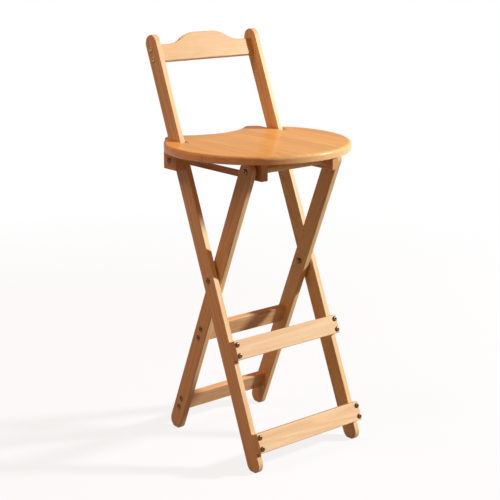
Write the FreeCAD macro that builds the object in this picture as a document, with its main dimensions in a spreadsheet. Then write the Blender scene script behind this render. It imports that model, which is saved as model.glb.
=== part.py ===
import FreeCAD, Part
import math
import os

import Sketcher

# Folding bar stool of solid timber boards.
# Lengths are in millimetres and angles in degrees. +Z is up and the stool faces -Y.
# The origin is on the floor under the middle of the stool's outline.

os.makedirs("parts", exist_ok=True)
doc = FreeCAD.newDocument("FoldingBarStool")
sheet = doc.addObject("Spreadsheet::Sheet", "Sizes")

# Driving sizes
DRIVING = [
    ("board_width", 40.0, "width of the leg boards"),
    ("board_thick", 14.0, "thickness of the leg boards"),
    ("frame_width", 299.0, "width over the long legs"),
    ("frame_gap", 6.0, "gap between a long leg and a short leg"),
    ("lean", 22.227, "lean of every leg from upright, in degrees"),
    ("cross_height", 388.7, "height of the crossing bolts"),
    ("pivot_reach", 274.3, "crossing bolt to seat pivot, and to the cross dowel"),
    ("top_reach", 540.6, "crossing bolt to the round top of an upright"),
    ("sole_cut", 1.5, "depth of the level sole cut from each round foot"),
    ("edge_round", 2.0, "eased edges of the boards"),
    ("seat_radius", 210.0, "radius of the seat board"),
    ("seat_centre", 15.5, "seat centre behind the crossing"),
    ("seat_thick", 18.0, "thickness of the seat board"),
    ("seat_clear", 0.5, "leg top to the underside of the seat"),
    ("rim_round", 7.0, "round on the upper rim of the seat"),
    ("rim_under", 1.5, "chamfer on the lower rim of the seat, and round on small blocks"),
    ("scoop_edge", 143.7, "deepest point of the rear scoop behind the crossing"),
    ("scoop_radius", 145.0, "radius of the rear scoop"),
    ("lobe_round", 24.0, "round of the two rear lobes"),
    ("ear_near", 96.0, "where the flat on a rear corner of the seat leaves the disc"),
    ("ear_blend", 60.0, "blend of that flat into the disc"),
    ("ear_end", 145.0, "rear end of the seat outside the notches"),
    ("notch_side", 3.0, "side gap of the notch round an upright"),
    ("notch_front", 0.6, "front gap of the notch with the stool folded"),
    ("notch_round", 5.0, "round in the corners of the notch"),
    ("cleat_thick", 25.0, "thickness of a cleat"),
    ("cleat_front", 27.8, "cleat ahead of the seat pivot"),
    ("cleat_rear", 19.6, "cleat behind the seat pivot"),
    ("washer_thick", 1.0, "washer between cleat and long leg"),
    ("batten_thick", 18.0, "thickness of a slotted batten"),
    ("batten_gap", 5.5, "gap between a short leg and its batten"),
    ("batten_end", 19.0, "solid end of a batten past the slot"),
    ("dowel_radius", 9.5, "radius of the cross dowel"),
    ("rung_width", 42.0, "width of the rungs"),
    ("rung_thick", 19.0, "thickness of the front rungs"),
    ("front_high", 259.9, "floor to the upper front rung along the leg"),
    ("front_low", 59.9, "floor to the lower front rung along the leg"),
    ("rear_thick", 14.0, "thickness of the rear rungs"),
    ("rear_set", 2.0, "rear rungs behind the middle of the leg"),
    ("rear_high", 269.9, "floor to the upper rear rung along the leg"),
    ("rear_low", 69.9, "floor to the lower rear rung along the leg"),
    ("crest_drop", 42.9, "round top of an upright to the lower edge of the back rail"),
    ("crest_end", 39.3, "height of the back rail at its ends"),
    ("crest_rise", 24.5, "rise of the hump above the ends"),
    ("crest_crown", 25.0, "half the level part of the hump"),
    ("crest_shoulder", 105.0, "half width at the foot of the hump"),
    ("crest_thick", 14.0, "thickness of the back rail"),
    ("crest_set", 3.0, "back rail behind the middle of the upright"),
    ("screw_pitch", 24.0, "spacing of the two screws of a joint"),
    ("screw_radius", 2.0, "radius of a wood screw"),
    ("screw_head", 5.6, "radius of a wood screw head"),
    ("screw_rim", 1.0, "straight edge of a wood screw head"),
    ("screw_dome", 1.8, "sloped part of a wood screw head"),
    ("screw_bite", 30.0, "depth of a screw in end grain"),
    ("screw_socket", 1.6, "depth of a screw's hex socket"),
    ("socket_radius", 2.4, "radius over the corners of a screw's socket"),
    ("bolt_radius", 4.0, "radius of a pivot bolt"),
    ("bolt_head", 6.5, "radius of a pivot bolt head"),
    ("bolt_rim", 1.0, "straight edge of a bolt head"),
    ("bolt_dome", 1.8, "sloped part of a bolt head"),
    ("bolt_socket", 2.0, "depth of a bolt's hex socket"),
    ("hex_radius", 2.6, "radius over the corners of a bolt's socket"),
    ("cap_height", 5.0, "height of a cap nut"),
    ("cap_wall", 1.2, "closed end of a cap nut"),
    ("insert_radius", 6.0, "radius of a threaded insert"),
    ("insert_short", 1.0, "insert set back from the outer face of the leg"),
    ("spacer_radius", 10.0, "radius of a crossing spacer"),
    ("washer_radius", 9.0, "radius of a seat pivot washer"),
    ("under_drive", 9.0, "depth of the seat screws in the seat board"),
    ("under_head", 4.0, "radius of a seat screw head"),
    ("under_sink", 3.0, "depth of a seat screw head below the surface"),
    ("under_set", 0.5, "seat screw heads inside the surface"),
    ("under_pitch", 15.0, "cleat screws ahead of and behind the pivot"),
    ("running_fit", 0.08, "radial clearance of a turning bolt"),
    ("hole_fit", 0.1, "radial clearance of a fixed screw"),
    ("slot_fit", 0.3, "clearance of the cross dowel in its slots"),
]

# Sizes that follow from the driving ones
DERIVED = [
    ("board_half", "board_width / 2"),
    ("half_thick", "board_thick / 2"),
    ("frame_half", "frame_width / 2"),
    ("lean_sin", "sin(lean * 1 deg)"),
    ("lean_cos", "cos(lean * 1 deg)"),
    ("long_inner", "frame_half - board_thick"),
    ("leg_middle", "frame_half - half_thick"),
    ("short_outer", "long_inner - frame_gap"),
    ("short_inner", "short_outer - board_thick"),
    ("sole_drop", "board_half - sole_cut"),
    ("sole_half", "sqrt(board_half ^ 2 - sole_drop ^ 2)"),
    ("foot_reach", "(cross_height - sole_drop) / lean_cos"),
    ("sole_back", "lean_sin * sole_drop + lean_cos * sole_half"),
    ("sole_back_down", "foot_reach + lean_cos * sole_drop - lean_sin * sole_half"),
    ("sole_front", "lean_cos * sole_half - lean_sin * sole_drop"),
    ("sole_front_down", "foot_reach + lean_cos * sole_drop + lean_sin * sole_half"),
    ("pivot_height", "cross_height + pivot_reach * lean_cos"),
    ("pivot_back", "pivot_reach * lean_sin"),
    ("row_shift", "(top_reach * lean_sin + board_half + seat_centre - seat_radius) / 2"),
    ("seat_under", "board_half + seat_clear"),
    ("seat_top", "seat_under + seat_thick"),
    ("scoop_centre", "scoop_edge + scoop_radius"),
    ("notch_inner", "long_inner - notch_side"),
    ("notch_outer", "frame_half + notch_side"),
    ("notch_wall", "pivot_back - board_half - notch_front"),
    ("notch_open", "seat_centre + seat_radius"),
    ("ear_side", "sqrt(seat_radius ^ 2 - (ear_near - seat_centre) ^ 2)"),
    ("ear_back", "seat_centre + sqrt(seat_radius ^ 2 - leg_middle ^ 2)"),
    ("ear_low_side", "ear_side + (ear_side - leg_middle) / 10"),
    ("ear_low_back", "ear_near - (ear_back - ear_near) / 10"),
    ("ear_high_side", "leg_middle - (ear_side - leg_middle) / 10"),
    ("ear_high_back", "ear_back + (ear_back - ear_near) / 10"),
    ("cleat_inner", "frame_half + washer_thick"),
    ("cleat_outer", "cleat_inner + cleat_thick"),
    ("cleat_middle", "cleat_inner + cleat_thick / 2"),
    ("cleat_near", "pivot_back - cleat_front"),
    ("cleat_far", "pivot_back + cleat_rear"),
    ("cleat_screw_near", "pivot_back - under_pitch"),
    ("cleat_screw_far", "pivot_back + under_pitch"),
    ("batten_outer", "short_inner - batten_gap"),
    ("batten_inner", "batten_outer - batten_thick"),
    ("batten_middle", "batten_outer - batten_thick / 2"),
    ("slot_half", "dowel_radius + slot_fit"),
    ("slot_end", "pivot_back + slot_half"),
    ("batten_reach", "slot_end + batten_end"),
    ("batten_screw", "slot_end + batten_end / 2"),
    ("rung_half", "rung_width / 2"),
    ("leg_below", "cross_height / lean_cos"),
    ("rung_upper", "leg_below - front_high"),
    ("rung_lower", "leg_below - front_low"),
    ("rear_upper", "leg_below - rear_high"),
    ("rear_lower", "leg_below - rear_low"),
    ("rung_front", "board_half + rung_thick"),
    ("pitch_half", "screw_pitch / 2"),
    ("upper_top", "rung_upper - rung_half"),
    ("upper_bottom", "rung_upper + rung_half"),
    ("lower_top", "rung_lower - rung_half"),
    ("lower_bottom", "rung_lower + rung_half"),
    ("upper_screw_one", "rung_upper - pitch_half"),
    ("upper_screw_two", "rung_upper + pitch_half"),
    ("lower_screw_one", "rung_lower - pitch_half"),
    ("lower_screw_two", "rung_lower + pitch_half"),
    ("rear_face", "rear_thick / 2 - rear_set"),
    ("rear_back", "rear_thick / 2 + rear_set"),
    ("rear_upper_top", "rear_upper - rung_half"),
    ("rear_upper_bottom", "rear_upper + rung_half"),
    ("rear_lower_top", "rear_lower - rung_half"),
    ("rear_lower_bottom", "rear_lower + rung_half"),
    ("rear_upper_one", "rear_upper - pitch_half"),
    ("rear_upper_two", "rear_upper + pitch_half"),
    ("rear_lower_one", "rear_lower - pitch_half"),
    ("rear_lower_two", "rear_lower + pitch_half"),
    ("rear_bite", "short_inner - screw_bite"),
    ("dowel_length", "2 * short_inner"),
    ("crest_face", "crest_thick / 2 - crest_set"),
    ("crest_start", "top_reach - crest_drop"),
    ("crest_side", "crest_start + crest_end"),
    ("crest_top", "crest_side + crest_rise"),
    ("crest_run", "crest_shoulder - crest_crown"),
    ("crest_bend", "(crest_run ^ 2 + crest_rise ^ 2) / (4 * crest_rise)"),
    ("crest_mid_x", "(crest_shoulder + crest_crown) / 2"),
    ("crest_mid_z", "crest_side + crest_rise / 2"),
    ("crest_screw_one", "crest_start + crest_end / 2 - pitch_half"),
    ("crest_screw_two", "crest_start + crest_end / 2 + pitch_half"),
    ("crest_bite", "long_inner - screw_bite"),
    ("screw_hole", "screw_radius + hole_fit"),
    ("bolt_hole", "bolt_radius + running_fit"),
    ("insert_hole", "insert_radius + hole_fit"),
    ("insert_outer", "frame_half - insert_short"),
    ("bolt_fixed_hole", "bolt_radius + hole_fit"),
    ("under_hole", "under_head + hole_fit"),
    ("under_depth", "under_sink + hole_fit"),
    ("under_reach", "seat_under + under_drive"),
    ("rung_screw_length", "rung_thick + board_half - 1"),
    ("side_screw_length", "board_thick + screw_bite - 1"),
    ("dowel_screw_length", "board_thick + screw_bite - 1"),
    ("under_screw_length", "board_half + seat_under + under_drive - 1 - under_sink"),
    ("cross_bolt_length", "board_thick * 2 + frame_gap + cap_height - cap_wall - 0.3"),
    ("seat_bolt_length", "cleat_thick + washer_thick + board_thick - 0.5"),
]

row = 1
for alias, number, note in DRIVING:
    sheet.set("A%d" % row, note)
    sheet.set("B%d" % row, repr(number))
    sheet.setAlias("B%d" % row, alias)
    row += 1
for alias, formula in DERIVED:
    sheet.set("A%d" % row, alias.replace("_", " "))
    sheet.set("B%d" % row, "=" + formula)
    sheet.setAlias("B%d" % row, alias)
    row += 1
doc.recompute()

ORIGIN = FreeCAD.Vector(0, 0, 0)
AXIS_X = FreeCAD.Vector(1, 0, 0)
AXIS_Y = FreeCAD.Vector(0, 1, 0)
AXIS_Z = FreeCAD.Vector(0, 0, 1)
SIDES = (("left", "-"), ("right", ""))
nodes = []


def value(term):
    """Number behind a term: an alias, an alias with a minus sign, or zero."""
    if not isinstance(term, str):
        return float(term)
    if term.startswith("-"):
        return -float(sheet.get(term[1:]))
    return float(sheet.get(term))


def bound(term):
    """Expression for a term that names a cell of the sheet."""
    if term.startswith("-"):
        return "-Sizes." + term[1:]
    return "Sizes." + term


def flip(sign, term):
    """Term with the sign of one side of the stool."""
    if not isinstance(term, str) or sign == "":
        return term
    return term[1:] if term.startswith("-") else "-" + term


def drive(thing, name, term):
    """Bind a property to a term, or set it where the term is a number."""
    if isinstance(term, str):
        thing.setExpression(name, bound(term))
    else:
        thing.setExpression(name, repr(float(term)))


# Frames that the pieces are drawn in
FRAME_TERMS = {
    "long": ("cross_height", "-lean"),
    "short": ("cross_height", "lean"),
    "seat": ("pivot_height", None),
}


def place(thing, frame):
    """Put an object in the frame of the long legs, the short legs or the seat."""
    height, angle = FRAME_TERMS[frame]
    turn = FreeCAD.Rotation(AXIS_X, value(angle)) if angle else FreeCAD.Rotation()
    thing.Placement = FreeCAD.Placement(
        FreeCAD.Vector(0, value("-row_shift"), value(height)), turn)
    drive(thing, "Placement.Base.y", "-row_shift")
    drive(thing, "Placement.Base.z", height)
    if angle:
        thing.setExpression("Placement.Rotation.Angle", bound(angle) + " * 1 deg")


def finish(thing, label):
    """Name a finished piece and keep it for the export."""
    thing.Label = label
    nodes.append((label, thing))


def plane(body, role):
    """One of a body's own origin planes."""
    for item in body.Origin.OriginFeatures:
        if item.Role == role:
            return item
    raise RuntimeError("no plane " + role)


def new_sketch(body, name, role, offset=None):
    """Sketch on one of a body's origin planes, lifted by a term along the normal."""
    sketch = body.newObject("Sketcher::SketchObject", name)
    sketch.AttachmentSupport = [(plane(body, role), "")]
    sketch.MapMode = "FlatFace"
    if offset is not None:
        sketch.AttachmentOffset = FreeCAD.Placement(
            FreeCAD.Vector(0, 0, value(offset)), FreeCAD.Rotation())
        drive(sketch, "AttachmentOffset.Base.z", offset)
    return sketch


def pin(sketch, geometry, point, across, along):
    """Hold a point of the sketch at two terms from the sketch origin."""
    for kind, term in (("DistanceX", across), ("DistanceY", along)):
        index = sketch.addConstraint(
            Sketcher.Constraint(kind, -1, 1, geometry, point, value(term)))
        if isinstance(term, str):
            drive(sketch, "Constraints[%d]" % index, term)


def add_circle(sketch, across, along, radius):
    """Circle held by its centre and radius."""
    centre = FreeCAD.Vector(value(across), value(along), 0)
    index = sketch.addGeometry(Part.Circle(centre, AXIS_Z, value(radius)), False)
    pin(sketch, index, 3, across, along)
    held = sketch.addConstraint(Sketcher.Constraint("Radius", index, value(radius)))
    drive(sketch, "Constraints[%d]" % held, radius)


def add_profile(sketch, corners, arcs=None):
    """Closed outline of lines and arcs through pinned corners.

    arcs maps the index of a segment to its radius term, the side its centre is on
    (1 on the left of the way from corner to corner, -1 on the right) and the size
    of the turn ("minor" or "major"). The word half before a radius term marks a half
    circle, which is held by its centre.
    """
    arcs = arcs or {}
    points = [FreeCAD.Vector(value(x), value(y), 0) for x, y in corners]
    count = len(points)
    ends = []
    for number in range(count):
        first = points[number]
        last = points[(number + 1) % count]
        if number in arcs:
            radius, side, turn = arcs[number]
            radius = radius.replace("half ", "")
            span = last - first
            chord = span.Length
            size = max(value(radius), chord / 2)
            rise = math.sqrt(max(size * size - chord * chord / 4, 0.0))
            left = FreeCAD.Vector(-span.y, span.x, 0) * (1.0 / chord)
            centre = (first + last) * 0.5 + left * (rise * side * (1 if turn == "minor" else -1))
            start = math.atan2(first.y - centre.y, first.x - centre.x)
            stop = math.atan2(last.y - centre.y, last.x - centre.x)
            circle = Part.Circle(centre, AXIS_Z, size)
            if side > 0:
                geometry = sketch.addGeometry(Part.ArcOfCircle(circle, start, stop), False)
                ends.append((geometry, 1, 2))
            else:
                geometry = sketch.addGeometry(Part.ArcOfCircle(circle, stop, start), False)
                ends.append((geometry, 2, 1))
        else:
            geometry = sketch.addGeometry(Part.LineSegment(first, last), False)
            ends.append((geometry, 1, 2))
    for number in range(count):
        geometry, start, stop = ends[number]
        following, next_start, _ = ends[(number + 1) % count]
        sketch.addConstraint(
            Sketcher.Constraint("Coincident", geometry, stop, following, next_start))
        pin(sketch, geometry, start, *corners[number])
    for number, (radius, _, _) in arcs.items():
        geometry = ends[number][0]
        if radius.startswith("half "):
            level = corners[number][1]
            held = sketch.addConstraint(
                Sketcher.Constraint("DistanceY", -1, 1, geometry, 3, value(level)))
            drive(sketch, "Constraints[%d]" % held, level)
            continue
        held = sketch.addConstraint(Sketcher.Constraint("Radius", geometry, value(radius)))
        drive(sketch, "Constraints[%d]" % held, radius)


def add_box(sketch, low_x, high_x, low_y, high_y):
    """Rectangle between four terms."""
    add_profile(sketch, [(low_x, low_y), (high_x, low_y), (high_x, high_y), (low_x, high_y)])


def add_stadium(sketch, low, high, half):
    """Level slot from low to high along the sketch's first axis, with round ends."""
    centre_low = FreeCAD.Vector(value(low), 0, 0)
    centre_high = FreeCAD.Vector(value(high), 0, 0)
    size = value(half)
    right = sketch.addGeometry(Part.ArcOfCircle(
        Part.Circle(centre_high, AXIS_Z, size), -math.pi / 2, math.pi / 2), False)
    left = sketch.addGeometry(Part.ArcOfCircle(
        Part.Circle(centre_low, AXIS_Z, size), math.pi / 2, math.pi * 1.5), False)
    up = FreeCAD.Vector(0, size, 0)
    top = sketch.addGeometry(Part.LineSegment(centre_high + up, centre_low + up), False)
    bottom = sketch.addGeometry(Part.LineSegment(centre_low - up, centre_high - up), False)
    for one, one_end, other, other_end in ((right, 2, top, 1), (top, 2, left, 1),
                                           (left, 2, bottom, 1), (bottom, 2, right, 1)):
        sketch.addConstraint(Sketcher.Constraint("Tangent", one, one_end, other, other_end))
    pin(sketch, right, 3, high, 0)
    pin(sketch, left, 3, low, 0)
    held = sketch.addConstraint(Sketcher.Constraint("Radius", right, size))
    drive(sketch, "Constraints[%d]" % held, half)


def add_pad(body, sketch, name, length, middle=False, back=False):
    """Pad a sketch by a term."""
    pad = body.newObject("PartDesign::Pad", name)
    pad.Profile = sketch
    drive(pad, "Length", length)
    pad.Midplane = middle
    pad.Reversed = back
    sketch.Visibility = False
    doc.recompute()
    return pad


def add_pocket(body, sketch, name, length=None, back=False):
    """Pocket a sketch by a term, or right through where no term is given."""
    before = body.Shape.Volume
    pocket = body.newObject("PartDesign::Pocket", name)
    pocket.Profile = sketch
    if length is None:
        pocket.Type = "ThroughAll"
    else:
        pocket.Type = "Length"
        drive(pocket, "Length", length)
    pocket.Reversed = back
    sketch.Visibility = False
    doc.recompute()
    if not body.Shape.Volume < before - 0.01:
        raise RuntimeError(name + " removes nothing")
    return pocket


def add_mirror(body, feature, name):
    """Mirror a feature across the middle of the stool."""
    mirror = body.newObject("PartDesign::Mirrored", name)
    mirror.Originals = [feature]
    mirror.MirrorPlane = (plane(body, "YZ_Plane"), [""])
    body.Tip = mirror
    doc.recompute()
    return mirror


def round_edges(body, name, radius, test, kind="Fillet"):
    """Round, or chamfer, the edges of the body's last feature that pass a test."""
    last = body.Tip
    picked = []
    for number, edge in enumerate(last.Shape.Edges, 1):
        if test(edge):
            picked.append("Edge%d" % number)
    if not picked:
        raise RuntimeError(name + " finds no edges")
    fillet = body.newObject("PartDesign::" + kind, name)
    fillet.Base = (last, picked)
    drive(fillet, "Radius" if kind == "Fillet" else "Size", radius)
    doc.recompute()
    return fillet


def in_plane(edge, axis, level):
    """True where both ends and the middle of an edge lie at a level along an axis."""
    middle = edge.valueAt((edge.FirstParameter + edge.LastParameter) / 2)
    spots = [vertex.Point for vertex in edge.Vertexes] + [middle]
    return all(abs(getattr(spot, axis) - level) < 0.01 for spot in spots)


def is_bore(edge):
    """True for a full circle."""
    return len(edge.Vertexes) == 1


def new_body(name):
    """Body with a name of its own."""
    return doc.addObject("PartDesign::Body", "Body_" + name)


# Long legs: each is one board from the front foot to the top of the upright
for side, sign in SIDES:
    label = "long_leg_" + side
    body = new_body(label)
    sketch = new_sketch(body, "Outline_" + label, "YZ_Plane", flip(sign, "leg_middle"))
    add_profile(sketch, [
        ("-board_half", "top_reach"), ("-board_half", "-foot_reach"),
        ("-sole_front", "-sole_front_down"), ("sole_back", "-sole_back_down"),
        ("board_half", "-foot_reach"), ("board_half", "top_reach"),
    ], {1: ("board_half", 1, "minor"), 3: ("board_half", 1, "minor"),
        5: ("half board_half", 1, "minor")})
    add_circle(sketch, 0, 0, "bolt_fixed_hole")
    add_circle(sketch, 0, "pivot_reach", "insert_hole")
    add_circle(sketch, "crest_set", "crest_screw_one", "screw_hole")
    add_circle(sketch, "crest_set", "crest_screw_two", "screw_hole")
    add_pad(body, sketch, "Board_" + label, "board_thick", middle=True)
    faces = [value(flip(sign, "frame_half")), value(flip(sign, "long_inner"))]
    round_edges(body, "Eased_" + label, "edge_round", lambda edge: not is_bore(edge) and any(
        in_plane(edge, "x", level) for level in faces))
    drill = new_sketch(body, "Drill_" + label, "XZ_Plane")
    for height in ("-upper_screw_one", "-upper_screw_two", "-lower_screw_one", "-lower_screw_two"):
        add_circle(drill, flip(sign, "leg_middle"), height, "screw_hole")
    add_pocket(body, drill, "Holes_" + label, "board_half", back=True)
    place(body, "long")
    finish(body, label)

# Short legs: from the rear foot to the cross dowel
for side, sign in SIDES:
    label = "short_leg_" + side
    body = new_body(label)
    sketch = new_sketch(body, "Outline_" + label, "YZ_Plane", flip(sign, "short_outer"))
    add_profile(sketch, [
        ("-board_half", "pivot_reach"), ("-board_half", "-foot_reach"),
        ("-sole_back", "-sole_back_down"), ("sole_front", "-sole_front_down"),
        ("board_half", "-foot_reach"), ("board_half", "pivot_reach"),
    ], {1: ("board_half", 1, "minor"), 3: ("board_half", 1, "minor"),
        5: ("half board_half", 1, "minor")})
    add_circle(sketch, 0, 0, "bolt_hole")
    add_circle(sketch, 0, "pivot_reach", "screw_hole")
    for height in ("-rear_upper_one", "-rear_upper_two", "-rear_lower_one", "-rear_lower_two"):
        add_circle(sketch, "rear_set", height, "screw_hole")
    add_pad(body, sketch, "Board_" + label, "board_thick", back=(sign == ""))
    faces = [value(flip(sign, "short_outer")), value(flip(sign, "short_inner"))]
    round_edges(body, "Eased_" + label, "edge_round", lambda edge: not is_bore(edge) and any(
        in_plane(edge, "x", level) for level in faces))
    place(body, "short")
    finish(body, label)

# Front rungs: boards across the front edges of the long legs
for label, top, bottom, one, two in (
        ("front_rung_upper", "-upper_top", "-upper_bottom", "-upper_screw_one", "-upper_screw_two"),
        ("front_rung_lower", "-lower_top", "-lower_bottom", "-lower_screw_one", "-lower_screw_two")):
    body = new_body(label)
    sketch = new_sketch(body, "Outline_" + label, "XZ_Plane", "board_half")
    add_box(sketch, "-frame_half", "frame_half", bottom, top)
    for across in ("-leg_middle", "leg_middle"):
        add_circle(sketch, across, one, "screw_hole")
        add_circle(sketch, across, two, "screw_hole")
    add_pad(body, sketch, "Board_" + label, "rung_thick")
    front = -value("rung_front")
    round_edges(body, "Eased_" + label, "edge_round", lambda edge: not is_bore(edge) and (
        in_plane(edge, "y", front) or abs(edge.Length - value("rung_thick")) < 0.01))
    place(body, "long")
    finish(body, label)

# Rear rungs: boards between the short legs
for label, top, bottom, one, two in (
        ("rear_rung_upper", "-rear_upper_top", "-rear_upper_bottom",
         "-rear_upper_one", "-rear_upper_two"),
        ("rear_rung_lower", "-rear_lower_top", "-rear_lower_bottom",
         "-rear_lower_one", "-rear_lower_two")):
    body = new_body(label)
    sketch = new_sketch(body, "Outline_" + label, "XZ_Plane", "rear_face")
    add_box(sketch, "-short_inner", "short_inner", bottom, top)
    add_pad(body, sketch, "Board_" + label, "rear_thick", back=True)
    round_edges(body, "Eased_" + label, "edge_round", lambda edge: (
        edge.Length > value("short_inner")))
    drill = new_sketch(body, "Drill_" + label, "YZ_Plane", "rear_bite")
    add_circle(drill, "rear_set", one, "screw_hole")
    add_circle(drill, "rear_set", two, "screw_hole")
    holes = add_pocket(body, drill, "Holes_" + label, back=True)
    add_mirror(body, holes, "Pair_" + label)
    place(body, "short")
    finish(body, label)

# Back rail: straight lower edge and a camel hump above
label = "back_rail"
body = new_body(label)
sketch = new_sketch(body, "Outline_" + label, "XZ_Plane", "crest_face")
add_profile(sketch, [
    ("-long_inner", "crest_start"), ("long_inner", "crest_start"),
    ("long_inner", "crest_side"), ("crest_shoulder", "crest_side"),
    ("crest_mid_x", "crest_mid_z"), ("crest_crown", "crest_top"),
    ("-crest_crown", "crest_top"), ("-crest_mid_x", "crest_mid_z"),
    ("-crest_shoulder", "crest_side"), ("-long_inner", "crest_side"),
], {3: ("crest_bend", -1, "minor"), 4: ("crest_bend", 1, "minor"),
    6: ("crest_bend", 1, "minor"), 7: ("crest_bend", -1, "minor")})
add_pad(body, sketch, "Board_" + label, "crest_thick", back=True)
rail_faces = [-value("crest_face"), value("crest_thick") - value("crest_face")]
round_edges(body, "Eased_" + label, "edge_round", lambda edge: any(
    in_plane(edge, "y", level) for level in rail_faces))
drill = new_sketch(body, "Drill_" + label, "YZ_Plane", "crest_bite")
add_circle(drill, "crest_set", "crest_screw_one", "screw_hole")
add_circle(drill, "crest_set", "crest_screw_two", "screw_hole")
holes = add_pocket(body, drill, "Holes_" + label, back=True)
add_mirror(body, holes, "Pair_" + label)
place(body, "long")
finish(body, label)

# Cross dowel between the tops of the short legs
label = "cross_dowel"
body = new_body(label)
sketch = new_sketch(body, "Outline_" + label, "YZ_Plane", "-short_inner")
add_circle(sketch, 0, "pivot_reach", "dowel_radius")
add_pad(body, sketch, "Round_" + label, "dowel_length")
drill = new_sketch(body, "Drill_" + label, "YZ_Plane", "rear_bite")
add_circle(drill, 0, "pivot_reach", "screw_hole")
holes = add_pocket(body, drill, "Holes_" + label, back=True)
add_mirror(body, holes, "Pair_" + label)
place(body, "short")
finish(body, label)

# Seat board: a disc with a shallow scoop behind, a flat on each rear corner
# and open notches for the uprights
label = "seat_board"
body = new_body(label)
sketch = new_sketch(body, "Outline_" + label, "XY_Plane", "seat_under")
add_circle(sketch, 0, "seat_centre", "seat_radius")
add_pad(body, sketch, "Disc_" + label, "seat_thick")
sketch = new_sketch(body, "Scoop_" + label, "XY_Plane", "seat_top")
add_circle(sketch, 0, "scoop_centre", "scoop_radius")
add_pocket(body, sketch, "Scoop_cut_" + label)
round_edges(body, "Lobes_" + label, "lobe_round", lambda edge: (
    abs(edge.Length - value("seat_thick")) < 0.01
    and abs(edge.Vertexes[0].Point.x) > value("rim_under")
    and edge.Vertexes[0].Point.y > value("scoop_edge")))
sketch = new_sketch(body, "Ear_" + label, "XY_Plane", "seat_top")
add_profile(sketch, [("ear_low_side", "ear_low_back"), ("seat_radius", "notch_open"),
                     ("ear_high_side", "ear_high_back")])
cut = add_pocket(body, sketch, "Ear_cut_" + label)
add_mirror(body, cut, "Ear_pair_" + label)
round_edges(body, "Ears_" + label, "ear_blend", lambda edge: (
    abs(edge.Length - value("seat_thick")) < 0.01
    and min(abs(abs(edge.Vertexes[0].Point.x) - value(term))
            for term in ("ear_side", "leg_middle")) < 0.01))
round_edges(body, "Rim_top_" + label, "rim_round", lambda edge: (
    in_plane(edge, "z", value("seat_top"))))
round_edges(body, "Rim_under_" + label, "rim_under", lambda edge: (
    in_plane(edge, "z", value("seat_under"))), "Chamfer")
sketch = new_sketch(body, "Notch_" + label, "XY_Plane", "seat_top")
add_profile(sketch, [("notch_inner", "notch_wall"), ("notch_outer", "notch_wall"),
                     ("notch_outer", "ear_end"), ("seat_radius", "ear_end"),
                     ("seat_radius", "notch_open"), ("notch_inner", "notch_open")])
cut = add_pocket(body, sketch, "Notch_cut_" + label)
add_mirror(body, cut, "Notch_pair_" + label)
round_edges(body, "Notch_corners_" + label, "notch_round", lambda edge: (
    abs(edge.Length - value("seat_thick")) < 0.01
    and abs(edge.Vertexes[0].Point.y - value("notch_wall")) < 0.01))
drill = new_sketch(body, "Drill_" + label, "XY_Plane", "under_reach")
for sign in ("-", ""):
    add_circle(drill, flip(sign, "batten_middle"), "batten_screw", "screw_hole")
    add_circle(drill, flip(sign, "batten_middle"), "-batten_screw", "screw_hole")
    add_circle(drill, flip(sign, "cleat_middle"), "cleat_screw_near", "screw_hole")
    add_circle(drill, flip(sign, "cleat_middle"), "cleat_screw_far", "screw_hole")
add_pocket(body, drill, "Holes_" + label)
place(body, "seat")
finish(body, label)

# Cleats: blocks under the rear of the seat that hold it to the long legs
for side, sign in SIDES:
    label = "cleat_" + side
    body = new_body(label)
    sketch = new_sketch(body, "Outline_" + label, "YZ_Plane", flip(sign, "cleat_inner"))
    add_box(sketch, "cleat_near", "cleat_far", "-board_half", "seat_under")
    add_circle(sketch, "pivot_back", 0, "bolt_hole")
    add_pad(body, sketch, "Block_" + label, "cleat_thick", back=(sign == "-"))
    outer = value(flip(sign, "cleat_outer"))
    low = -value("board_half")
    round_edges(body, "Eased_" + label, "rim_under", lambda edge: not is_bore(edge) and (
        in_plane(edge, "z", low) and edge.Length > value("cleat_thick") - 0.5
        or in_plane(edge, "x", outer) and not in_plane(edge, "z", value("seat_under"))))
    drill = new_sketch(body, "Drill_" + label, "XY_Plane", "seat_under")
    sunk = new_sketch(body, "Sunk_" + label, "XY_Plane", "-board_half")
    for spot in ("cleat_screw_near", "cleat_screw_far"):
        add_circle(drill, flip(sign, "cleat_middle"), spot, "screw_hole")
        add_circle(sunk, flip(sign, "cleat_middle"), spot, "under_hole")
    add_pocket(body, drill, "Holes_" + label)
    add_pocket(body, sunk, "Sinks_" + label, "under_depth", back=True)
    place(body, "seat")
    finish(body, label)

# Slotted battens: the cross dowel slides in their slots as the stool folds
for side, sign in SIDES:
    label = "batten_" + side
    body = new_body(label)
    sketch = new_sketch(body, "Outline_" + label, "YZ_Plane", flip(sign, "batten_inner"))
    add_box(sketch, "-batten_reach", "batten_reach", "-board_half", "seat_under")
    add_stadium(sketch, "-pivot_back", "pivot_back", "slot_half")
    add_pad(body, sketch, "Board_" + label, "batten_thick", back=(sign == "-"))
    low = -value("board_half")
    round_edges(body, "Eased_" + label, "rim_under", lambda edge: (
        in_plane(edge, "z", low)
        or abs(edge.Length - value("board_half") - value("seat_under")) < 0.01))
    drill = new_sketch(body, "Drill_" + label, "XY_Plane", "seat_under")
    sunk = new_sketch(body, "Sunk_" + label, "XY_Plane", "-board_half")
    for spot in ("-batten_screw", "batten_screw"):
        add_circle(drill, flip(sign, "batten_middle"), spot, "screw_hole")
        add_circle(sunk, flip(sign, "batten_middle"), spot, "under_hole")
    add_pocket(body, drill, "Holes_" + label)
    add_pocket(body, sunk, "Sinks_" + label, "under_depth", back=True)
    place(body, "seat")
    finish(body, label)


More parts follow.
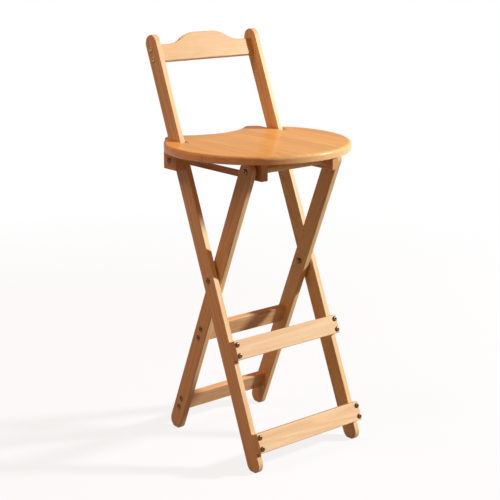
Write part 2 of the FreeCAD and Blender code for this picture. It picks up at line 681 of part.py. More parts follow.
# Ring pieces: spacers, washers and inserts
def add_ring(label, frame, along, inner, length, outer_radius, bore, up):
    """Ring about a line across the stool."""
    body = new_body(label)
    sketch = new_sketch(body, "Ring_" + label, "YZ_Plane", inner)
    add_circle(sketch, along[0], along[1], outer_radius)
    add_circle(sketch, along[0], along[1], bore)
    add_pad(body, sketch, "Length_" + label, length, back=not up)
    place(body, frame)
    finish(body, label)
    return body


for side, sign in SIDES:
    out = sign == ""
    add_ring("crossing_spacer_" + side, "long", (0, 0), flip(sign, "short_outer"), "frame_gap",
             "spacer_radius", "bolt_fixed_hole", out)
    add_ring("seat_washer_" + side, "long", (0, "pivot_reach"), flip(sign, "frame_half"),
             "washer_thick", "washer_radius", "bolt_fixed_hole", out)
    insert = add_ring("seat_insert_" + side, "long", (0, "pivot_reach"), flip(sign, "long_inner"),
                      "board_thick", "insert_radius", "bolt_fixed_hole", out)
    insert.Tip.setExpression("Length", "Sizes.board_thick - Sizes.insert_short")


# Screws, bolts and cap nuts from plain solids
def solid(kind, name, sizes, base, turn):
    """Primitive with bound sizes, held at three terms."""
    thing = doc.addObject("Part::" + kind, name)
    for prop, term in sizes.items():
        drive(thing, prop, term)
    thing.Placement = FreeCAD.Placement(
        FreeCAD.Vector(*[value(term) for term in base]), turn)
    for letter, term in zip("xyz", base):
        if isinstance(term, str):
            drive(thing, "Placement.Base." + letter, term)
    return thing


TURN = {
    "right": FreeCAD.Rotation(AXIS_Y, 90),
    "left": FreeCAD.Rotation(AXIS_Y, -90),
    "front": FreeCAD.Rotation(AXIS_X, 90),
    "down": FreeCAD.Rotation(AXIS_X, 180),
}
# The shank of a fastener runs the opposite way from its head
BACKWARD = {
    "right": FreeCAD.Rotation(AXIS_Y, -90),
    "left": FreeCAD.Rotation(AXIS_Y, 90),
    "front": FreeCAD.Rotation(AXIS_X, -90),
    "down": FreeCAD.Rotation(),
}
AXIS_LETTER = {"right": ("x", 1), "left": ("x", -1), "front": ("y", -1), "down": ("z", -1)}


def shift(thing, way, base, amounts):
    """Move a solid along the way its head faces by a sum of cells."""
    letter, sign = AXIS_LETTER[way]
    term = base["xyz".index(letter)]
    start = bound(term) if isinstance(term, str) else repr(float(term))
    total = " + ".join("Sizes." + amount for amount in amounts)
    joined = "%s %s (%s)" % (start, "+" if sign > 0 else "-", total)
    thing.setExpression("Placement.Base." + letter, joined)


def add_fasteners(label, frame, way, spots, length, shank, head, rim, dome, socket, hexagon):
    """Group of like fasteners whose heads face one way or, by spot, either way."""
    plus = []
    minus = []
    for number, spot in enumerate(spots):
        facing = spot[3] if len(spot) > 3 else way
        base = spot[:3]
        tag = "%s_%d" % (label, number)
        turn = TURN[facing]
        plus.append(solid("Cylinder", "Shank_" + tag, {"Radius": shank, "Height": length},
                          base, BACKWARD[facing]))
        plus.append(solid("Cylinder", "Head_" + tag, {"Radius": head, "Height": rim}, base, turn))
        crown = solid("Cone", "Crown_" + tag, {"Radius1": head, "Height": dome}, base, turn)
        crown.setExpression("Radius2", "Sizes.%s * 0.58" % head)
        shift(crown, facing, base, [rim])
        plus.append(crown)
        key = solid("Prism", "Key_" + tag, {"Circumradius": hexagon}, base, turn)
        key.Polygon = 6
        key.setExpression("Height", "Sizes.%s + 1" % socket)
        letter, sign = AXIS_LETTER[facing]
        term = base["xyz".index(letter)]
        start = bound(term) if isinstance(term, str) else repr(float(term))
        key.setExpression("Placement.Base." + letter, "%s %s (Sizes.%s + Sizes.%s - Sizes.%s)" % (
            start, "+" if sign > 0 else "-", rim, dome, socket))
        minus.append(key)
    whole = doc.addObject("Part::MultiFuse", "Bodies_" + label)
    whole.Shapes = plus
    keys = doc.addObject("Part::Compound", "Keys_" + label)
    keys.Links = minus
    group = doc.addObject("Part::Cut", "Group_" + label)
    group.Base = whole
    group.Tool = keys
    doc.recompute()
    place(group, frame)
    finish(group, label)


WOOD_SCREW = ("screw_radius", "screw_head", "screw_rim", "screw_dome", "screw_socket",
              "socket_radius")
PIVOT_BOLT = ("bolt_radius", "bolt_head", "bolt_rim", "bolt_dome", "bolt_socket", "hex_radius")

for level in ("upper", "lower"):
    spots = []
    for across in ("-leg_middle", "leg_middle"):
        for which in ("one", "two"):
            spots.append((across, "-rung_front", "-%s_screw_%s" % (level, which)))
    add_fasteners("front_rung_screws_" + level, "long", "front", spots,
                  "rung_screw_length", *WOOD_SCREW)
    spots = []
    for facing, sign in SIDES:
        for which in ("one", "two"):
            spots.append((flip(sign, "short_outer"), "rear_set",
                          "-rear_%s_%s" % (level, which), facing))
    add_fasteners("rear_rung_screws_" + level, "short", None, spots,
                  "side_screw_length", *WOOD_SCREW)

spots = []
for facing, sign in SIDES:
    for which in ("one", "two"):
        spots.append((flip(sign, "frame_half"), "crest_set", "crest_screw_" + which, facing))
add_fasteners("back_rail_screws", "long", None, spots, "side_screw_length", *WOOD_SCREW)

for facing, sign in SIDES:
    add_fasteners("dowel_screw_" + facing, "short", None,
                  [(flip(sign, "short_outer"), 0, "pivot_reach", facing)],
                  "dowel_screw_length", "screw_radius", "bolt_head", "bolt_rim", "bolt_dome",
                  "bolt_socket", "hex_radius")
    add_fasteners("crossing_bolt_" + facing, "long", None,
                  [(flip(sign, "frame_half"), 0, 0, facing)], "cross_bolt_length", *PIVOT_BOLT)
    add_fasteners("seat_bolt_" + facing, "long", None,
                  [(flip(sign, "cleat_outer"), 0, "pivot_reach", facing)],
                  "seat_bolt_length", *PIVOT_BOLT)


# Sunk screws that hold the battens and cleats to the seat
def add_sunk_screws(label, spots):
    """Group of flat-headed screws driven up from below into the seat board."""
    plus = []
    for number, (across, back) in enumerate(spots):
        tag = "%s_%d" % (label, number)
        base = (across, back, "-board_half")
        shank = solid("Cylinder", "Shank_" + tag,
                      {"Radius": "screw_radius", "Height": "under_screw_length"},
                      base, FreeCAD.Rotation())
        shank.setExpression("Placement.Base.z", "-Sizes.board_half + Sizes.under_sink")
        head = solid("Cylinder", "Head_" + tag, {"Radius": "under_head"}, base,
                     FreeCAD.Rotation())
        head.setExpression("Height", "Sizes.under_sink - Sizes.under_set")
        head.setExpression("Placement.Base.z", "-Sizes.board_half + Sizes.under_set")
        plus += [shank, head]
    whole = doc.addObject("Part::MultiFuse", "Group_" + label)
    whole.Shapes = plus
    doc.recompute()
    place(whole, "seat")
    finish(whole, label)


batten_spots = []
cleat_spots = []
for side, sign in SIDES:
    for back in ("-batten_screw", "batten_screw"):
        batten_spots.append((flip(sign, "batten_middle"), back))
    for back in ("cleat_screw_near", "cleat_screw_far"):
        cleat_spots.append((flip(sign, "cleat_middle"), back))
add_sunk_screws("batten_screws", batten_spots)
add_sunk_screws("cleat_screws", cleat_spots)

# Cap nuts on the inner faces of the short legs
for facing, sign in SIDES:
    label = "crossing_nut_" + facing
    body = new_body(label)
    sketch = new_sketch(body, "Cap_" + label, "YZ_Plane", flip(sign, "short_inner"))
    add_circle(sketch, 0, 0, "bolt_head")
    add_pad(body, sketch, "Height_" + label, "cap_height", back=(sign == ""))
    inward = value("short_inner") - value("cap_height")
    round_edges(body, "Dome_" + label, "edge_round", lambda edge: (
        in_plane(edge, "x", value(sign + "short_inner") - math.copysign(
            value("cap_height"), value(sign + "short_inner")))))
    drill = new_sketch(body, "Drill_" + label, "YZ_Plane", flip(sign, "short_inner"))
    add_circle(drill, 0, 0, "bolt_fixed_hole")
    bore = add_pocket(body, drill, "Bore_" + label, "cap_height", back=(sign == "-"))
    bore.setExpression("Length", "Sizes.cap_height - Sizes.cap_wall")
    doc.recompute()
    place(body, "long")
    finish(body, label)

doc.recompute()

# Checks before the pieces are written
bad = []
for thing in doc.Objects:
    if "Invalid" in thing.State or "Error" in thing.State:
        bad.append("%s %s" % (thing.Name, thing.State))
for label, thing in nodes:
    shape = thing.Shape
    if shape.isNull() or not shape.isValid() or not shape.Solids:
        bad.append(label + " has no valid solid")
if bad:
    raise RuntimeError("; ".join(bad))

for label, thing in nodes:
    thing.Shape.exportStep("parts/%s.step" % label)
    print(label, len(thing.Shape.Solids), round(thing.Shape.Volume, 1))
print("pieces", len(nodes))
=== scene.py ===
"""Dress the folding bar stool: varnished timber, bronzed screws, studio floor and light."""
import logging
import math
from dataclasses import dataclass, field
from enum import Enum
from typing import Optional

import bmesh
import bpy
from mathutils import Matrix, Vector


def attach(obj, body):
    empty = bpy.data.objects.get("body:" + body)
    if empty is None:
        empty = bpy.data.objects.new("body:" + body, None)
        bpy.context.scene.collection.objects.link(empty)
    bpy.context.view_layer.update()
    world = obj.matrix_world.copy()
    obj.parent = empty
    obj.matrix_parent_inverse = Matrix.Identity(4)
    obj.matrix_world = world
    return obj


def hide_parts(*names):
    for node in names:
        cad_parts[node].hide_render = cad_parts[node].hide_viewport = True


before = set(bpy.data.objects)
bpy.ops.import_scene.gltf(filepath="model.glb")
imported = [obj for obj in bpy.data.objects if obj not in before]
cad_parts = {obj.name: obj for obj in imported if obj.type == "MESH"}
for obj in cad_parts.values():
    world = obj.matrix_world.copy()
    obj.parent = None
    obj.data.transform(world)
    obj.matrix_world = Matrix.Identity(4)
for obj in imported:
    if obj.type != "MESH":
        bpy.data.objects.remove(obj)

log = logging.getLogger("stool")
Colour = tuple[float, float, float]
Span = tuple[float, float]
Socket = bpy.types.NodeSocket

MILLI = 0.001
WHITE: Colour = (1.0, 1.0, 1.0)

# Lean of both pairs of legs in degrees
LEAN = 22.227

# Places of the colour sockets on Blender's Mix node
MIX_SHARE, MIX_FIRST, MIX_SECOND, MIX_RESULT = 0, 6, 7, 2

# Cosines between a face and its softened edge, from fully worn to untouched
WORN_EDGE: Span = (0.80, 0.99)
EDGE_SAMPLES = 4


class Grain(Enum):
    """Direction in which the fibres of a board run, as a turn to the local Z axis."""

    ACROSS = (0.0, 90.0, 0.0)
    FRONT_TO_BACK = (90.0, 0.0, 0.0)
    LEANING_BACK = (LEAN, 0.0, 0.0)
    LEANING_FORWARD = (-LEAN, 0.0, 0.0)

    def turn(self) -> tuple[float, float, float]:
        """Give the turn in radians."""
        return tuple(math.radians(angle) for angle in self.value)


class Facing(Enum):
    """Way that a fastener's head faces, as a turn from +Z in degrees and its axis."""

    LEFT = (-90.0, "Y")
    RIGHT = (90.0, "Y")
    FRONT = (90.0, "X")

    def turn(self) -> Matrix:
        """Give the matrix of the turn."""
        angle, axis = self.value
        return Matrix.Rotation(math.radians(angle), 4, axis)


class Legs(Enum):
    """A pair of legs, as the body that it belongs to and the sense of its lean."""

    LONG = ("long_frame", -1.0)
    SHORT = ("short_frame", 1.0)


SIDES = ((Facing.LEFT, -1.0), (Facing.RIGHT, 1.0))


def direction(azimuth: float, height: float) -> Vector:
    """Point out from the middle of the stool.

    Args:
        azimuth: Degrees round from the front.
        height: Degrees above level.

    Returns:
        A vector of length one.
    """
    turn, rise = math.radians(azimuth), math.radians(height)
    return Vector((math.sin(turn) * math.cos(rise), -math.cos(turn) * math.cos(rise),
                   math.sin(rise)))


class Tree:
    """A node tree, with short calls for the nodes that this stool needs."""

    def __init__(self, owner: bpy.types.ID, output: str) -> None:
        """Start an empty tree.

        Args:
            owner: The material or world that the tree is for.
            output: The Blender type of its output node.
        """
        owner.use_nodes = True
        self.nodes = owner.node_tree.nodes
        self.links = owner.node_tree.links
        self.nodes.clear()
        self.out = self.nodes.new(output)

    def add(self, kind: str, **inputs: object) -> bpy.types.Node:
        """Add a node and fill its inputs.

        Args:
            kind: The node's Blender type.
            **inputs: A value or an output for each input, by name with underscores or
                by number as in "in_1". A name that starts with "set_" is an attribute.

        Returns:
            The new node.
        """
        node = self.nodes.new(kind)
        for key, value in inputs.items():
            if key.startswith("set_"):
                setattr(node, key.removeprefix("set_"), value)
        for key, value in inputs.items():
            if key.startswith("set_"):
                continue
            numbered = key.startswith("in_")
            name = int(key.removeprefix("in_")) if numbered else key.replace("_", " ")
            self._fill(node.inputs[name], value)
        return node

    def _fill(self, socket: Socket, value: object) -> None:
        """Link an output to an input, or set the input to a value.

        Args:
            socket: The input.
            value: The output or value.
        """
        if isinstance(value, Socket):
            self.links.new(value, socket)
        else:
            socket.default_value = value

    def math(self, operation: str, first: object, second: object,
             clamp: bool = False) -> Socket:
        """Add a Math node.

        Args:
            operation: What it does.
            first: Its first value or output.
            second: Its second value or output.
            clamp: True keeps the result from 0 to 1.

        Returns:
            The result.
        """
        node = self.add("ShaderNodeMath", set_operation=operation, set_use_clamp=clamp,
                        in_0=first, in_1=second)
        return node.outputs[0]

    def scaled(self, value: Socket, share: float) -> Socket:
        """Multiply a value by a share."""
        return self.math("MULTIPLY", value, share)

    def size(self, value: Socket) -> Socket:
        """Drop the sign of a value."""
        return self.add("ShaderNodeMath", set_operation="ABSOLUTE", in_0=value).outputs[0]

    def largest(self, *values: Socket) -> Socket:
        """Find the largest of some values.

        Args:
            *values: The values.

        Returns:
            The largest of them.
        """
        result = values[0]
        for value in values[1:]:
            result = self.math("MAXIMUM", result, value)
        return result

    def shifted(self, place: Socket, shift: object) -> Socket:
        """Add a vector to a place."""
        return self.add("ShaderNodeVectorMath", set_operation="ADD", in_0=place,
                        in_1=shift).outputs[0]

    def part(self, vector: Socket, axis: int) -> Socket:
        """Read one part of a vector, by the number of its axis."""
        return self.add("ShaderNodeSeparateXYZ", Vector=vector).outputs[axis]

    def step(self, factor: Socket, span: Span, start: float = 0.0,
             end: float = 1.0) -> Socket:
        """Go smoothly from one result to another while a factor crosses a span.

        Args:
            factor: The value that is read.
            span: The values of the factor between which the result changes.
            start: The result before the span.
            end: The result past it.

        Returns:
            The result.
        """
        node = self.add("ShaderNodeMapRange", set_interpolation_type="SMOOTHSTEP",
                        in_0=factor, in_1=span[0], in_2=span[1], in_3=start, in_4=end)
        return node.outputs[0]

    def mix(self, share: object, first: object, second: object,
            blend: str = "MIX") -> Socket:
        """Mix two colours.

        Args:
            share: The share of the second colour.
            first: The first colour or output.
            second: The second colour or output.
            blend: The way that they mix.

        Returns:
            The mixed colour.
        """
        node = self.add("ShaderNodeMix", set_data_type="RGBA", set_blend_type=blend)
        for index, value in ((MIX_SHARE, share), (MIX_FIRST, first), (MIX_SECOND, second)):
            full = (*value, 1.0) if isinstance(value, tuple) else value
            self._fill(node.inputs[index], full)
        return node.outputs[MIX_RESULT]

    def close(self, shader: bpy.types.Node) -> None:
        """Join the surface shader to the output."""
        self.links.new(shader.outputs[0], self.out.inputs[0])


class Finish(Tree):
    """The node tree of a new material."""

    def __init__(self, name: str) -> None:
        """Start an empty material.

        Args:
            name: The material's name.
        """
        self.material = bpy.data.materials.new(name)
        super().__init__(self.material, "ShaderNodeOutputMaterial")
        self.coordinates = self.nodes.new("ShaderNodeTexCoord").outputs

    def rubbed(self, reach: float) -> Socket:
        """Find the edges of a piece, where fingers and feet rub it.

        Args:
            reach: Reach of an edge in metres.

        Returns:
            1 on an edge and 0 away from it.
        """
        soft = self.add("ShaderNodeBevel", set_samples=EDGE_SAMPLES, Radius=reach)
        hard = self.add("ShaderNodeNewGeometry").outputs["Normal"]
        agreement = self.add("ShaderNodeVectorMath", set_operation="DOT_PRODUCT",
                             in_0=soft.outputs[0], in_1=hard).outputs["Value"]
        return self.step(agreement, WORN_EDGE, 1.0, 0.0)

    def made(self, shader: bpy.types.Node) -> bpy.types.Material:
        """Join the surface shader to the output and return the material."""
        self.close(shader)
        return self.material


@dataclass(frozen=True)
class Noise:
    """A soft noise, stretched along the grain.

    Attributes:
        across: Features in a metre across the grain.
        along: Features in a metre along it.
        detail: Finer layers.
        roughness: Strength of the finer layers.
    """

    across: float
    along: float
    detail: float = 2.0
    roughness: float = 0.5

    def read(self, tree: Finish, place: Socket) -> Socket:
        """Read the noise.

        Args:
            tree: The material's tree.
            place: Where it is read, in metres, with the grain along Z.

        Returns:
            A value that is mostly from 0.3 to 0.7.
        """
        spread = tree.add("ShaderNodeMapping", Vector=place,
                          Scale=(self.across, self.across, self.along))
        node = tree.add("ShaderNodeTexNoise", Vector=spread.outputs[0], Scale=1.0,
                        Detail=self.detail, Roughness=self.roughness)
        return node.outputs[0]


@dataclass(frozen=True)
class Layer:
    """One layer of a figure: a noise that is cut to run from 0 to 1.

    Attributes:
        noise: The noise.
        span: Values of the noise at which the layer starts and is full.
        share: Share of its colour that the layer lays on where it is full.
    """

    noise: Noise
    span: Span
    share: float = 1.0

    def draw(self, tree: Finish, place: Socket) -> Socket:
        """Draw the layer: 0 where there is none and 1 where it is full."""
        return tree.step(self.noise.read(tree, place), self.span)


@dataclass(frozen=True)
class Spread:
    """How the boards of one finish differ in tone.

    Attributes:
        light: Lightness of a middling board.
        light_stray: How far the lightness strays from that.
        light_pace: How fast it changes from one seed to the next.
        warm_stray: How far the warmth strays.
        warm_pace: How fast that changes from one seed to the next.
    """

    light: float = 0.97
    light_stray: float = 0.035
    light_pace: float = 5.3
    warm_stray: float = 0.012
    warm_pace: float = 3.1

    def tone(self, colour: Colour, seed: float) -> Colour:
        """Make a colour a little lighter, darker or warmer for one board.

        Args:
            colour: The finish's colour.
            seed: The board's own number.

        Returns:
            The board's colour.
        """
        light = self.light + self.light_stray * math.sin(seed * self.light_pace)
        warm = self.warm_stray * math.sin(seed * self.warm_pace)
        return (colour[0] * light, colour[1] * (light - warm), colour[2] * (light - 2 * warm))


@dataclass(frozen=True)
class Cut:
    """Place of a board on its tree trunk, and what its glue joints look like there.

    Attributes:
        place: The place, with the grain along Z.
        joint: 1 on a glue joint and 0 beside it, or None for a solid board.
        tone: Tint of each stave, or None for a solid board.
    """

    place: Socket
    joint: Optional[Socket] = None
    tone: Optional[Socket] = None


@dataclass(frozen=True)
class Staves:
    """Staves glued side by side into a wide board.

    Attributes:
        width: Width of a stave in metres.
        offset: Share of a stave between the board's middle and the joint beside it.
        scatter: How far apart on the trunk two staves may be cut, in metres.
        line: Distances from a stave's middle at which its joint starts and is full, as
            shares of the width.
        dark: Tint of the darkest stave.
        light: Tint of the lightest stave.
        share: Darkness of a joint.
    """

    width: float
    offset: float = 0.36
    scatter: float = 9.0
    line: Span = (0.488, 0.497)
    dark: Colour = (0.90, 0.885, 0.86)
    light: Colour = (1.03, 1.03, 1.03)
    share: float = 0.45

    def cut(self, tree: Finish, board: Socket, seed: float) -> Cut:
        """Cut every stave from a place of its own on the trunk.

        Args:
            tree: The material's tree.
            board: Place on the board, with the grain along Z and the staves along X.
            seed: The board's own number.

        Returns:
            The place on the trunk, the joints and the staves' tones.
        """
        count = tree.math("ADD", tree.math("DIVIDE", tree.part(board, 0), self.width),
                          self.offset)
        number = tree.add("ShaderNodeMath", set_operation="FLOOR", in_0=count).outputs[0]
        within = tree.add("ShaderNodeMath", set_operation="FRACT", in_0=count).outputs[0]
        chance = tree.add("ShaderNodeTexWhiteNoise", set_noise_dimensions="1D", W=number)
        far = tree.scaled(chance.outputs[0], self.scatter)
        start = tree.add("ShaderNodeCombineXYZ", X=far, Y=seed, Z=far).outputs[0]
        off_middle = tree.size(tree.math("SUBTRACT", within, 0.5))
        return Cut(tree.shifted(board, start), tree.step(off_middle, self.line),
                   tree.mix(chance.outputs[0], self.dark, self.light))


@dataclass(frozen=True)
class Timber:
    """Clear-varnished pale timber with a fine straight grain.

    Attributes:
        name: The finish's name.
        pale: Early wood.
        deep: Late wood and pores.
        flush: The warmer patches.
        gloss: Roughness of the wood under its varnish.
        varnish: Weight of the varnish.
        sheen: Roughness of the varnish.
        mirror: Level of the wood's own reflection.
        staves: The staves of a glued board, or None for a solid one.
        side: Painted light, a pale tint on the faces that don't lie level, such as the seat's
            rim, where the key light strikes them; or None.
        side_light_span: How level a face is where that painted light is full and where it has
            gone.
        spread: How the boards differ in tone.
        origin: The board's place on its trunk for each unit of its seed, in metres.
        wander: The noise by which the grain sways.
        sway: Reach of that sway in metres.
        contour: The noise whose contours are the growth rings.
        contours: Growth rings for one unit of that noise.
        early: Part of a ring's width over which it darkens.
        late: Part of it over which it is pale again.
        ring: Strength of the growth rings.
        patch: Warm patches.
        streak: Dark streaks along the grain.
        fibre: Fine fibres.
        pore: Open pores.
        speck: Specks of the sawn ends.
        end_span: Facing along the grain at which end grain starts and is full.
        end_share: Darkness of the end grain.
        edge_reach: Reach of a rubbed edge in metres.
        edge_share: Paleness of a rubbed edge, partly wear and partly a painted highlight on
            the arrises.
        edge_polish: How much smoother a rubbed edge is.
        fibre_rough: How much rougher the fibres are.
        ring_relief: Height of the rings against that of the fibres.
        relief: Strength of the relief.
        depth: Depth of the relief in metres.
    """

    name: str
    pale: Colour = (0.88, 0.675, 0.37)
    deep: Colour = (0.61, 0.345, 0.135)
    flush: Colour = (0.79, 0.50, 0.22)
    gloss: float = 0.46
    varnish: float = 0.12
    sheen: float = 0.24
    mirror: float = 0.22
    staves: Optional[Staves] = None
    side: Optional[Colour] = None
    side_light_span: Span = (0.60, 0.97)
    spread: Spread = Spread()
    origin: tuple[float, float, float] = (0.37, 0.61, 1.7)
    wander: Noise = Noise(5.0, 1.6, 1.0)
    sway: float = 0.018
    contour: Noise = Noise(15.0, 0.9, 1.0, 0.4)
    contours: float = 19.0
    early: Span = (0.15, 0.86)
    late: Span = (0.86, 1.0)
    ring: float = 0.42
    patch: Layer = Layer(Noise(11.0, 1.9), (0.40, 0.64), 0.50)
    streak: Layer = Layer(Noise(120.0, 2.4, 2.0, 0.55), (0.42, 0.66), 0.26)
    fibre: Layer = Layer(Noise(950.0, 16.0, 2.0, 0.6), (0.40, 0.66), 0.18)
    pore: Layer = Layer(Noise(1900.0, 110.0, 1.0), (0.66, 0.72), 0.30)
    speck: Layer = Layer(Noise(1500.0, 1500.0, 2.0, 0.6), (0.42, 0.62))
    end_span: Span = (0.72, 0.97)
    end_share: float = 0.62
    edge_reach: float = 0.0022
    edge_share: float = 0.22
    edge_polish: float = 0.08
    fibre_rough: float = 0.10
    ring_relief: float = 0.5
    relief: float = 0.18
    depth: float = 0.00012

    def dress(self, label: str, grain: Grain, seed: float) -> bpy.types.Material:
        """Make the material of one board.

        Args:
            label: The board's name.
            grain: The run of its fibres.
            seed: Shifts the figure, so that no two boards match.

        Returns:
            The finished material.
        """
        tree = Finish(self.name + "_" + label)
        pale, flush = self.spread.tone(self.pale, seed), self.spread.tone(self.flush, seed)
        cut = self._cut(tree, grain, seed)
        rings = self._rings(tree, cut.place)
        fibre = self.fibre.draw(tree, cut.place)
        pore = self.pore.draw(tree, cut.place)
        patch = tree.scaled(self.patch.draw(tree, cut.place), self.patch.share)
        streak = tree.scaled(self.streak.draw(tree, cut.place), self.streak.share)
        wood = tree.mix(tree.scaled(rings, self.ring), pale, self.deep)
        wood = tree.mix(patch, wood, flush)
        wood = tree.mix(streak, wood, self.deep)
        wood = tree.mix(tree.scaled(fibre, self.fibre.share), wood, self.deep)
        wood = tree.mix(tree.scaled(pore, self.pore.share), wood, self.deep, "MULTIPLY")
        height = tree.math("ADD", tree.scaled(rings, self.ring_relief), fibre)
        height = tree.math("SUBTRACT", height, pore)
        if self.staves:
            wood = tree.mix(1.0, wood, cut.tone, "MULTIPLY")
            joint = tree.scaled(cut.joint, self.staves.share)
            wood = tree.mix(joint, wood, self.deep, "MULTIPLY")
            height = tree.math("SUBTRACT", height, cut.joint)
        wood = self._end_grain(tree, wood, cut.place, grain)
        # Painted light: a pale tint on the faces that don't lie level
        if self.side:
            wood = self._paint_side_light(tree, wood)
        # Paler edges: partly wear of the varnish and partly a painted highlight on the
        # arrises
        edge = tree.rubbed(self.edge_reach)
        wood = tree.mix(tree.scaled(edge, self.edge_share), wood, pale)
        rough = tree.math("ADD", tree.scaled(fibre, self.fibre_rough), self.gloss)
        rough = tree.math("SUBTRACT", rough, tree.scaled(edge, self.edge_polish))
        bump = tree.add("ShaderNodeBump", Strength=self.relief, Distance=self.depth,
                        Height=height)
        shader = tree.add("ShaderNodeBsdfPrincipled", Base_Color=wood, Roughness=rough,
                          Specular_IOR_Level=self.mirror, Coat_Weight=self.varnish,
                          Coat_Roughness=self.sheen, Normal=bump.outputs[0])
        return tree.made(shader)

    def _cut(self, tree: Finish, grain: Grain, seed: float) -> Cut:
        """Find where on its trunk a board was cut, with the grain swaying a little.

        Args:
            tree: The material's tree.
            grain: The run of the board's fibres.
            seed: The board's own number.

        Returns:
            The place on the trunk, with a glued board's joints and tones.
        """
        board = tree.add("ShaderNodeMapping", Vector=tree.coordinates["Object"],
                         Rotation=grain.turn()).outputs[0]
        if self.staves:
            cut = self.staves.cut(tree, board, seed)
        else:
            cut = Cut(tree.shifted(board, tuple(seed * part for part in self.origin)))
        bend = tree.math("SUBTRACT", self.wander.read(tree, cut.place), 0.5)
        bend = tree.scaled(bend, self.sway)
        sway = tree.add("ShaderNodeCombineXYZ", X=bend, Y=bend).outputs[0]
        return Cut(tree.shifted(cut.place, sway), cut.joint, cut.tone)

    def _rings(self, tree: Finish, place: Socket) -> Socket:
        """Draw growth rings as the contours of a long soft noise.

        Args:
            tree: The material's tree.
            place: Place on the trunk.

        Returns:
            0 in early wood and 1 in late wood.
        """
        count = tree.scaled(self.contour.read(tree, place), self.contours)
        level = tree.add("ShaderNodeMath", set_operation="FRACT", in_0=count).outputs[0]
        early = tree.step(level, self.early)
        late = tree.step(level, self.late, 1.0, 0.0)
        return tree.math("MULTIPLY", early, late)

    def _end_grain(self, tree: Finish, wood: Socket, place: Socket,
                   grain: Grain) -> Socket:
        """Darken the sawn ends, where the varnish soaks in.

        Args:
            tree: The material's tree.
            wood: The colour of the long grain.
            place: Place on the trunk.
            grain: The run of the board's fibres.

        Returns:
            The colour with its end grain.
        """
        facing = tree.add("ShaderNodeMapping", set_vector_type="NORMAL",
                          Vector=tree.coordinates["Normal"],
                          Rotation=grain.turn()).outputs[0]
        share = tree.step(tree.size(tree.part(facing, 2)), self.end_span)
        darker = tree.mix(self.speck.draw(tree, place), self.flush, self.deep)
        return tree.mix(tree.scaled(share, self.end_share), wood, darker)

    # Painted light: the seat's rim and other upright faces are paled as if the key light
    # struck them
    def _paint_side_light(self, tree: Finish, wood: Socket) -> Socket:
        """Tint the faces that don't lie level.

        Args:
            tree: The material's tree.
            wood: The colour of the level faces.

        Returns:
            The colour with painted light on its sides.
        """
        level = tree.size(tree.part(tree.coordinates["Normal"], 2))
        tinted = tree.mix(1.0, wood, self.side, "MULTIPLY")
        return tree.mix(tree.step(level, self.side_light_span, 1.0, 0.0), wood, tinted)


@dataclass(frozen=True)
class Bronzed:
    """Bronzed steel of the screws and bolts, rubbed bright on its edges.

    Attributes:
        name: The finish's name.
        skin: The bronzed face.
        bare: The rubbed edge.
        gloss: Roughness of the face.
        cloud: Clouds in the bronzing, a little barer than the rest.
        cloud_rough: How much rougher they are.
        edge_reach: Reach of a rubbed edge in metres.
        edge_share: Bareness of a rubbed edge.
        relief: Strength of the relief.
        depth: Depth of the relief in metres.
    """

    name: str = "bronzed_steel"
    skin: Colour = (0.095, 0.052, 0.026)
    bare: Colour = (0.60, 0.38, 0.18)
    gloss: float = 0.24
    cloud: Layer = Layer(Noise(600.0, 600.0, 3.0, 0.6), (0.35, 0.70), 0.16)
    cloud_rough: float = 0.14
    edge_reach: float = 0.0005
    edge_share: float = 0.75
    relief: float = 0.10
    depth: float = 0.00005

    def dress(self) -> bpy.types.Material:
        """Make the material.

        Returns:
            The finished material.
        """
        tree = Finish(self.name)
        cloud = self.cloud.draw(tree, tree.coordinates["Object"])
        edge = tree.scaled(tree.rubbed(self.edge_reach), self.edge_share)
        amount = tree.math("ADD", edge, tree.scaled(cloud, self.cloud.share), clamp=True)
        rough = tree.math("ADD", self.gloss, tree.scaled(cloud, self.cloud_rough))
        bump = tree.add("ShaderNodeBump", Strength=self.relief, Distance=self.depth,
                        Height=cloud)
        shader = tree.add("ShaderNodeBsdfPrincipled", Metallic=1.0, Roughness=rough,
                          Base_Color=tree.mix(amount, self.skin, self.bare),
                          Normal=bump.outputs[0])
        return tree.made(shader)


@dataclass(frozen=True)
class Fitting:
    """Turned brass or moulded nylon inside the joints.

    Attributes:
        name: The finish's name.
        base: Its colour.
        worn: The colour of rubbed places.
        metallic: 1 for metal and 0 for plastic.
        gloss: Its roughness.
        cloud: The rubbed places.
        cloud_rough: How much rougher they are.
        relief: Strength of the relief.
        depth: Depth of the relief in metres.
    """

    name: str
    base: Colour
    worn: Colour
    metallic: float
    gloss: float
    cloud: Layer = Layer(Noise(400.0, 400.0, 3.0, 0.6), (0.35, 0.70))
    cloud_rough: float = 0.12
    relief: float = 0.12
    depth: float = 0.00005

    def dress(self) -> bpy.types.Material:
        """Make the material.

        Returns:
            The finished material.
        """
        tree = Finish(self.name)
        cloud = self.cloud.draw(tree, tree.coordinates["Object"])
        rough = tree.math("ADD", self.gloss, tree.scaled(cloud, self.cloud_rough))
        bump = tree.add("ShaderNodeBump", Strength=self.relief, Distance=self.depth,
                        Height=cloud)
        shader = tree.add("ShaderNodeBsdfPrincipled", Metallic=self.metallic,
                          Base_Color=tree.mix(cloud, self.base, self.worn),
                          Roughness=rough, Normal=bump.outputs[0])
        return tree.made(shader)


def assign(label: str, material: bpy.types.Material) -> None:
    """Put a material on every slot of a node.

    Args:
        label: The node's name.
        material: Its new material.
    """
    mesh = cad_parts[label].data
    if not mesh.materials:
        mesh.materials.append(material)
    for index in range(len(mesh.materials)):
        mesh.materials[index] = material


